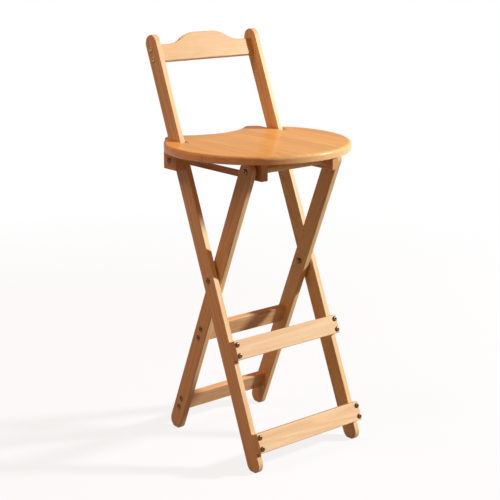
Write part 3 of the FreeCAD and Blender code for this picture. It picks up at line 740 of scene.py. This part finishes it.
@dataclass
class Timbers:
    """The boards of both frames, the rungs, the dowel and the seat's boards.

    Attributes:
        finish: Timber of the legs and of the dowel.
        rung_finish: Timber of the front rungs; its paler tone is partly their own and partly
            painted light.
        rear_painted_shade_finish: Timber of the rear rungs, darkened with painted shade.
        under_painted_shade_finish: Timber of the battens and cleats under the seat, darkened
            with painted shade.
        rail_finish: Timber of the back rail; its darker tone is partly its own and partly
            painted shade.
        seat_finish: Timber of the seat board.
        first_seed: Seed of the first board.
        seed_step: Seed from each board to the next.
    """

    finish: Timber = Timber("timber")
    # Front rungs: paler tone, partly their own and partly painted light
    rung_finish: Timber = Timber("rung_timber", pale=(0.90, 0.69, 0.43), ring=0.30)
    # Painted shade: the rear rungs' timber is darker than the legs' to stand in for the shade
    # that they lie in
    rear_painted_shade_finish: Timber = Timber("rear_timber_painted_shade", pale=(0.82, 0.54, 0.27),
                                 deep=(0.56, 0.28, 0.105), flush=(0.72, 0.39, 0.16))
    # Painted shade: the battens and cleats are darker to stand in for the shade under the
    # seat
    under_painted_shade_finish: Timber = Timber("under_timber_painted_shade", pale=(0.80, 0.52, 0.26),
                                  deep=(0.52, 0.26, 0.10), flush=(0.70, 0.37, 0.15))
    # Back rail: darker tone, partly its own and partly painted shade
    rail_finish: Timber = Timber("rail_timber", pale=(0.68, 0.485, 0.225), ring=0.34)
    # The seat's side tint is painted light on its rim
    seat_finish: Timber = Timber("seat_timber", pale=(0.98, 0.61, 0.180),
                                 deep=(0.73, 0.36, 0.092), flush=(0.90, 0.465, 0.125),
                                 gloss=0.42, varnish=0.32, sheen=0.16,
                                 staves=Staves(0.046), ring=0.40,
                                 side=(0.95, 1.06, 1.65))
    first_seed: float = 1.0
    seed_step: float = 0.83

    def runs(self) -> dict[str, tuple[Grain, Timber]]:
        """List the run of the grain and the finish of every timber node.

        Returns:
            Both of them by the node's name.
        """
        table = {
            "seat_board": (Grain.FRONT_TO_BACK, self.seat_finish),
            "back_rail": (Grain.ACROSS, self.rail_finish),
            "cross_dowel": (Grain.ACROSS, self.finish),
        }
        for side in ("left", "right"):
            table["long_leg_" + side] = (Grain.LEANING_BACK, self.finish)
            table["short_leg_" + side] = (Grain.LEANING_FORWARD, self.finish)
            table["batten_" + side] = (Grain.FRONT_TO_BACK, self.under_painted_shade_finish)
            table["cleat_" + side] = (Grain.FRONT_TO_BACK, self.under_painted_shade_finish)
        for height in ("upper", "lower"):
            table["front_rung_" + height] = (Grain.ACROSS, self.rung_finish)
            table["rear_rung_" + height] = (Grain.ACROSS, self.rear_painted_shade_finish)
        return table

    def dress(self) -> None:
        """Give each board its own figure."""
        for number, (label, (grain, finish)) in enumerate(sorted(self.runs().items())):
            seed = self.first_seed + self.seed_step * number
            assign(label, finish.dress(label, grain, seed))
            log.info("timber %s, grain %s", label, grain.name)


@dataclass(frozen=True)
class Head:
    """A domed head with a hex socket, on a round shank. Sizes in millimetres.

    Attributes:
        radius: Radius of the head.
        socket: Depth of the hex socket.
        hexagon: Radius over the socket's corners.
        shank: Radius of the shank.
        length: Length of the shank.
        rim: Height of the head's rim.
        dome: Rise of the dome above the rim.
        segments: Sides of the round parts, a multiple of six.
        steps: Rings of the dome.
        mouth: Radius of the socket's mouth against that over its corners.
        lip: Depth of the bevel round the mouth.
        ease: Width of that bevel and of the one under the rim.
        brim: Width of the round between dome and rim.
        upright: Share of the rim's height below that round.
        fall: How far the dome falls to the rim, 1 being all the way.
        taper: Length of the shank's point against its radius.
        point: Radius of the point's end against the shank's.
    """

    radius: float
    socket: float
    hexagon: float
    shank: float
    length: float
    rim: float = 1.0
    dome: float = 1.8
    segments: int = 36
    steps: int = 6
    mouth: float = 1.16
    lip: float = 0.10
    ease: float = 0.12
    brim: float = 0.25
    upright: float = 0.85
    fall: float = 0.94
    taper: float = 0.5
    point: float = 0.55

    def profile(self) -> list[tuple[float, float]]:
        """Draw the outline from the socket's mouth down to the shank's end.

        Returns:
            Radius and height of each corner.
        """
        mouth = self.hexagon * self.mouth
        top = self.rim + self.dome
        points = [(mouth - self.ease, top - self.lip), (mouth, top)]
        for index in range(1, self.steps + 1):
            share = index / self.steps
            out = mouth + (self.radius - self.brim - mouth) * share
            level = math.sqrt(1.0 - share * share * self.fall)
            points.append((out, self.rim + self.dome * level))
        points.append((self.radius, self.rim * self.upright))
        points.append((self.radius, self.ease))
        points.append((self.radius - self.ease, 0.0))
        points.append((self.shank, 0.0))
        points.append((self.shank, -self.length + self.shank * self.taper))
        points.append((self.shank * self.point, -self.length))
        return points

    def shape(self) -> bpy.types.Mesh:
        """Make one fastener, with its head towards +Z.

        The socket's floor is a hexagon whose edge is drawn up to the mouth and then
        out and down over the dome, ring by ring.

        Returns:
            Its mesh, in millimetres.
        """
        mesh = bmesh.new()
        top = self.rim + self.dome
        floor = bmesh.ops.create_circle(mesh, cap_ends=True, segments=self.segments,
                                        radius=self.hexagon)["verts"]
        for vert in floor:
            self._hexagon(vert)
            vert.co.z = top - self.socket
        ring, verts = self._draw(mesh, list(mesh.edges))
        for vert in verts:
            vert.co.z = top - self.lip
        for out, height in self.profile():
            ring, verts = self._draw(mesh, ring)
            for vert in verts:
                angle = math.atan2(vert.co.y, vert.co.x)
                vert.co = (out * math.cos(angle), out * math.sin(angle), height)
        bmesh.ops.edgeloop_fill(mesh, edges=ring)
        data = bpy.data.meshes.new("one_fastener")
        mesh.to_mesh(data)
        mesh.free()
        return data

    def _hexagon(self, vert: bmesh.types.BMVert) -> None:
        """Move a point of a circle in to the side of the socket's hexagon.

        Args:
            vert: The point.
        """
        side = math.radians(60.0)
        angle = math.atan2(vert.co.y, vert.co.x)
        turn = (angle % side) - side / 2
        out = self.hexagon * math.cos(side / 2) / math.cos(turn)
        vert.co.x, vert.co.y = out * math.cos(angle), out * math.sin(angle)

    @staticmethod
    def _draw(mesh: bmesh.types.BMesh, ring: list[bmesh.types.BMEdge]
              ) -> tuple[list[bmesh.types.BMEdge], list[bmesh.types.BMVert]]:
        """Extrude a ring of edges.

        Args:
            mesh: The mesh that is built.
            ring: The edges to draw out.

        Returns:
            The edges and the points of the new ring.
        """
        drawn = bmesh.ops.extrude_edge_only(mesh, edges=ring)["geom"]
        verts = [item for item in drawn if isinstance(item, bmesh.types.BMVert)]
        fresh = set(verts)
        edges = [item for item in drawn if isinstance(item, bmesh.types.BMEdge)
                 and item.verts[0] in fresh and item.verts[1] in fresh]
        return edges, verts


@dataclass
class Fasteners:
    """Screws and bolts, each group in its own place. Sizes in millimetres.

    Places along a leg are measured from the crossing bolts, up the leg.

    Attributes:
        height: Height of the crossing bolts.
        ahead: The crossing bolts ahead of the middle of the stool.
        leg_middle: Middle of a long leg from the stool's middle.
        long_face: Outer face of a long leg.
        short_face: Outer face of a short leg.
        cleat_face: Outer face of a seat cleat.
        rung_face: Front face of a front rung ahead of the crossing line.
        rear_set: Rear rung screws behind their leg's line.
        rail_set: Back rail screws behind their leg's line.
        reach: Crossing bolt to the seat pivot and to the dowel.
        front_rungs: Middles of the front rungs along their legs.
        rear_rungs: Middles of the rear rungs along theirs.
        rail: Middle of the back rail along its legs.
        row: Each screw above or below the middle of its rung or rail.
        sharp: Turn in degrees from which an edge looks sharp.
        wood_screw: Screw through a front rung.
        side_screw: Screw through a leg into a rear rung or the back rail.
        dowel_screw: Screw into an end of the cross dowel.
        cross_bolt: Bolt on which the frames turn.
        seat_bolt: Bolt on which the seat turns.
    """

    height: float = 388.7
    ahead: float = 14.998
    leg_middle: float = 142.5
    long_face: float = 149.5
    short_face: float = 129.5
    cleat_face: float = 175.5
    rung_face: float = 39.0
    rear_set: float = 2.0
    rail_set: float = 3.0
    reach: float = 274.3
    front_rungs: dict[str, float] = field(default_factory=lambda: {
        "upper": -160.002, "lower": -360.002})
    rear_rungs: dict[str, float] = field(default_factory=lambda: {
        "upper": -150.002, "lower": -350.002})
    rail: float = 517.35
    row: float = 12.0
    sharp: float = 38.0
    wood_screw: Head = Head(radius=5.6, socket=1.6, hexagon=2.4, shank=2.0, length=38.0)
    side_screw: Head = Head(radius=5.6, socket=1.6, hexagon=2.4, shank=2.0, length=43.0)
    dowel_screw: Head = Head(radius=6.5, socket=2.0, hexagon=2.6, shank=2.0, length=43.0)
    cross_bolt: Head = Head(radius=6.5, socket=2.0, hexagon=2.6, shank=4.0, length=37.5)
    seat_bolt: Head = Head(radius=6.5, socket=2.0, hexagon=2.6, shank=4.0, length=39.5)

    def _rows(self, middle: float) -> tuple[float, float]:
        """Place the two screws of a leg above and below the middle of a rung or rail."""
        return middle + self.row, middle - self.row

    def _group(self, node: str, legs: Legs, head: Head,
               spots: list[tuple[float, float, float, Facing]],
               finish: bpy.types.Material) -> None:
        """Make one group of like fasteners in place of its plain node.

        Args:
            node: The node that the group stands for.
            legs: The legs that it sits on.
            head: The kind of fastener.
            spots: Place of each seat of a head in the frame of the legs, and its facing.
            finish: The material.
        """
        body, sense = legs.value
        placed = (Matrix.Translation((0.0, -self.ahead, self.height))
                  @ Matrix.Rotation(math.radians(sense * LEAN), 4, "X"))
        mesh = bmesh.new()
        one = head.shape()
        for across, behind, along, facing in spots:
            matrix = placed @ Matrix.Translation((across, behind, along)) @ facing.turn()
            before = len(mesh.verts)
            mesh.from_mesh(one)
            bmesh.ops.transform(mesh, matrix=matrix, verts=mesh.verts[before:])
        bpy.data.meshes.remove(one)
        bmesh.ops.scale(mesh, vec=(MILLI, MILLI, MILLI), verts=mesh.verts)
        bmesh.ops.recalc_face_normals(mesh, faces=mesh.faces)
        for face in mesh.faces:
            face.smooth = len(face.verts) == 4
        for edge in mesh.edges:
            edge.smooth = edge.calc_face_angle(0.0) < math.radians(self.sharp)
        data = bpy.data.meshes.new(node + "_turned")
        mesh.to_mesh(data)
        mesh.free()
        data.materials.append(finish)
        thing = bpy.data.objects.new(node + "_turned", data)
        bpy.context.scene.collection.objects.link(thing)
        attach(thing, body)
        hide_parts(node)
        log.info("fasteners %s: %d", node, len(spots))

    def build(self) -> None:
        """Make every screw and bolt whose head shows."""
        finish = Bronzed().dress()
        bright = Bronzed("bright_bronze", skin=(0.40, 0.29, 0.13), bare=(0.80, 0.64, 0.36))
        self._rungs(finish)
        self._rail(bright.dress())
        for facing, sign in SIDES:
            side = facing.name.lower()
            self._group("dowel_screw_" + side, Legs.SHORT, self.dowel_screw,
                        [(sign * self.short_face, 0.0, self.reach, facing)], finish)
            self._group("crossing_bolt_" + side, Legs.LONG, self.cross_bolt,
                        [(sign * self.long_face, 0.0, 0.0, facing)], finish)
            self._group("seat_bolt_" + side, Legs.LONG, self.seat_bolt,
                        [(sign * self.cleat_face, 0.0, self.reach, facing)], finish)

    def _rungs(self, finish: bpy.types.Material) -> None:
        """Make the screws of the rungs.

        Args:
            finish: The material.
        """
        for level, middle in self.front_rungs.items():
            spots = [(sign * self.leg_middle, -self.rung_face, along, Facing.FRONT)
                     for _, sign in SIDES for along in self._rows(middle)]
            self._group("front_rung_screws_" + level, Legs.LONG, self.wood_screw, spots,
                        finish)
        for level, middle in self.rear_rungs.items():
            spots = [(sign * self.short_face, self.rear_set, along, facing)
                     for facing, sign in SIDES for along in self._rows(middle)]
            self._group("rear_rung_screws_" + level, Legs.SHORT, self.side_screw, spots,
                        finish)

    def _rail(self, finish: bpy.types.Material) -> None:
        """Make the screws of the back rail.

        Args:
            finish: The material.
        """
        spots = [(sign * self.long_face, self.rail_set, along, facing)
                 for facing, sign in SIDES for along in self._rows(self.rail)]
        self._group("back_rail_screws", Legs.LONG, self.side_screw, spots, finish)


@dataclass
class Fittings:
    """Sunk screws, cap nuts, spacers, washers and threaded inserts.

    Attributes:
        steel: Finish of screws, bolts and nuts.
        brass: Finish of the inserts.
        nylon: Finish of spacers and washers.
    """

    steel: Bronzed = Bronzed("bronzed_fitting")
    brass: Fitting = Fitting("brass", (0.60, 0.40, 0.14), (0.42, 0.26, 0.09), 1.0, 0.30)
    nylon: Fitting = Fitting("nylon", (0.70, 0.66, 0.56), (0.58, 0.53, 0.43), 0.0, 0.45)

    def dress(self) -> None:
        """Give each fitting its metal or nylon, by the words in its node's name."""
        steel, brass, nylon = self.steel.dress(), self.brass.dress(), self.nylon.dress()
        finishes = {"insert": brass, "spacer": nylon, "washer": nylon,
                    "screw": steel, "bolt": steel, "nut": steel}
        for label in sorted(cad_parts):
            for word, finish in finishes.items():
                if word in label:
                    assign(label, finish)
                    log.info("fitting %s: %s", label, finish.name)
                    break


@dataclass(frozen=True)
class Lamp:
    """One soft square lamp that points at the stool.

    Attributes:
        name: The lamp's name.
        azimuth: Degrees round from the front.
        height: Degrees above level.
        distance: Metres from the point aimed at.
        size: Its side in metres.
        power: Its power in watts.
        colour: The light's colour.
    """

    name: str
    azimuth: float
    height: float
    distance: float
    size: float
    power: float
    colour: Colour = WHITE

    def hang(self, aim: Vector) -> None:
        """Hang the lamp.

        Args:
            aim: The point that it is aimed at.
        """
        lamp = bpy.data.lights.new(self.name, "AREA")
        lamp.shape = "SQUARE"
        lamp.size = self.size
        lamp.energy = self.power
        lamp.color = self.colour
        thing = bpy.data.objects.new(self.name, lamp)
        thing.location = aim + direction(self.azimuth, self.height) * self.distance
        thing.rotation_mode = "QUATERNION"
        thing.rotation_quaternion = (aim - thing.location).to_track_quat("-Z", "Y")
        bpy.context.scene.collection.objects.link(thing)
        log.info("lamp %s", self.name)


@dataclass
class Studio:
    """White floor and background, a key light from the right, a weak fill, a soft room.

    Attributes:
        aim: The point that the lamps are aimed at, in metres.
        key: The main lamp.
        fill: The weak warm lamp on the left, a little behind the stool.
        floor_half: Half of the floor's side in metres.
        floor_bounce: Colour of the light that the floor throws back.
        floor_seen: The floor's colour before the camera.
        floor_fade: Distances from the middle over which it fades to white, in metres.
        floor_white: Share of plain white at the middle.
        room: Colour of the room's light.
        room_strength: Strength of the room's light.
        room_mirrored: Share of the white background in reflections.
    """

    aim: Vector = field(default_factory=lambda: Vector((0.0, 0.0, 0.45)))
    key: Lamp = Lamp("key", azimuth=55.0, height=25.5, distance=6.5, size=0.60, power=575.0)
    fill: Lamp = Lamp("fill", azimuth=-104.0, height=58.0, distance=5.0, size=2.6,
                      power=98.0, colour=(1.0, 0.50, 0.28))
    floor_half: float = 14.0
    floor_bounce: Colour = (0.22, 0.15, 0.10)
    floor_seen: Colour = (0.86, 0.92, 0.97)
    floor_fade: Span = (0.8, 2.6)
    floor_white: float = 0.84
    room: Colour = (1.0, 0.40, 0.19)
    room_strength: float = 0.17
    room_mirrored: float = 0.35

    def build(self) -> None:
        """Make the floor, the room and the lamps."""
        self._floor()
        self._room()
        for lamp in (self.key, self.fill):
            lamp.hang(self.aim)

    def _floor(self) -> None:
        """Lay a white floor that keeps the stool's shadow and fades out to white."""
        mesh = bmesh.new()
        bmesh.ops.create_grid(mesh, x_segments=1, y_segments=1, size=self.floor_half)
        data = bpy.data.meshes.new("floor")
        mesh.to_mesh(data)
        mesh.free()
        floor = bpy.data.objects.new("floor", data)
        bpy.context.scene.collection.objects.link(floor)
        tree = Finish("floor_white")
        rays = tree.add("ShaderNodeLightPath").outputs
        paint = tree.mix(rays["Is Camera Ray"], self.floor_bounce, self.floor_seen)
        matt = tree.add("ShaderNodeBsdfDiffuse", Color=paint)
        glow = tree.add("ShaderNodeEmission", Color=(*WHITE, 1.0), Strength=1.0)
        seen = tree.largest(rays["Is Camera Ray"], rays["Is Glossy Ray"],
                            rays["Is Transmission Ray"])
        far = tree.add("ShaderNodeVectorMath", set_operation="LENGTH",
                       in_0=tree.coordinates["Object"]).outputs["Value"]
        fade = tree.step(far, self.floor_fade, self.floor_white, 1.0)
        both = tree.add("ShaderNodeMixShader", in_0=tree.math("MULTIPLY", seen, fade),
                        in_1=matt.outputs[0], in_2=glow.outputs[0])
        data.materials.append(tree.made(both))
        log.info("floor")

    def _room(self) -> None:
        """Surround the stool with white for the camera and a soft warm room for light."""
        world = bpy.data.worlds.new("studio")
        bpy.context.scene.world = world
        tree = Tree(world, "ShaderNodeOutputWorld")
        soft = tree.add("ShaderNodeBackground", Color=(*self.room, 1.0),
                        Strength=self.room_strength)
        white = tree.add("ShaderNodeBackground", Color=(*WHITE, 1.0), Strength=1.0)
        rays = tree.add("ShaderNodeLightPath").outputs
        seen = tree.largest(tree.scaled(rays["Is Glossy Ray"], self.room_mirrored),
                            rays["Is Camera Ray"], rays["Is Transmission Ray"])
        both = tree.add("ShaderNodeMixShader", in_0=seen, in_1=soft.outputs[0],
                        in_2=white.outputs[0])
        tree.close(both)
        log.info("room")


@dataclass
class Camera:
    """The photograph's view of the stool.

    Attributes:
        azimuth: Degrees round from the front.
        elevation: Degrees above level.
        spot: Place of the lens in metres.
        lens: Focal length in millimetres.
        sensor: Width of the sensor in millimetres.
        lift: Upward shift of the frame.
        clip: Nearest and farthest distance that is drawn, in metres.
    """

    azimuth: float = -39.592
    elevation: float = 9.86
    spot: tuple[float, float, float] = (-1.74687, -2.08948, 1.14284)
    lens: float = 89.79
    sensor: float = 36.0
    lift: float = -0.21
    clip: Span = (0.05, 60.0)

    def build(self) -> None:
        """Place the camera and make it the scene's."""
        data = bpy.data.cameras.new("camera")
        data.sensor_width = self.sensor
        data.lens = self.lens
        data.shift_y = self.lift
        data.clip_start, data.clip_end = self.clip
        thing = bpy.data.objects.new("camera", data)
        thing.location = self.spot
        thing.rotation_mode = "QUATERNION"
        back = direction(self.azimuth, self.elevation)
        thing.rotation_quaternion = (-back).to_track_quat("-Z", "Y")
        bpy.context.scene.collection.objects.link(thing)
        bpy.context.scene.camera = thing
        log.info("camera")


def main() -> None:
    """Dress the stool, light it and place the camera."""
    logging.basicConfig(level=logging.INFO, format="%(message)s")
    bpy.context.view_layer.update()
    bpy.context.scene.view_settings.view_transform = "Standard"
    Timbers().dress()
    Fasteners().build()
    Fittings().dress()
    Studio().build()
    Camera().build()


if __name__ == "__main__":
    main()
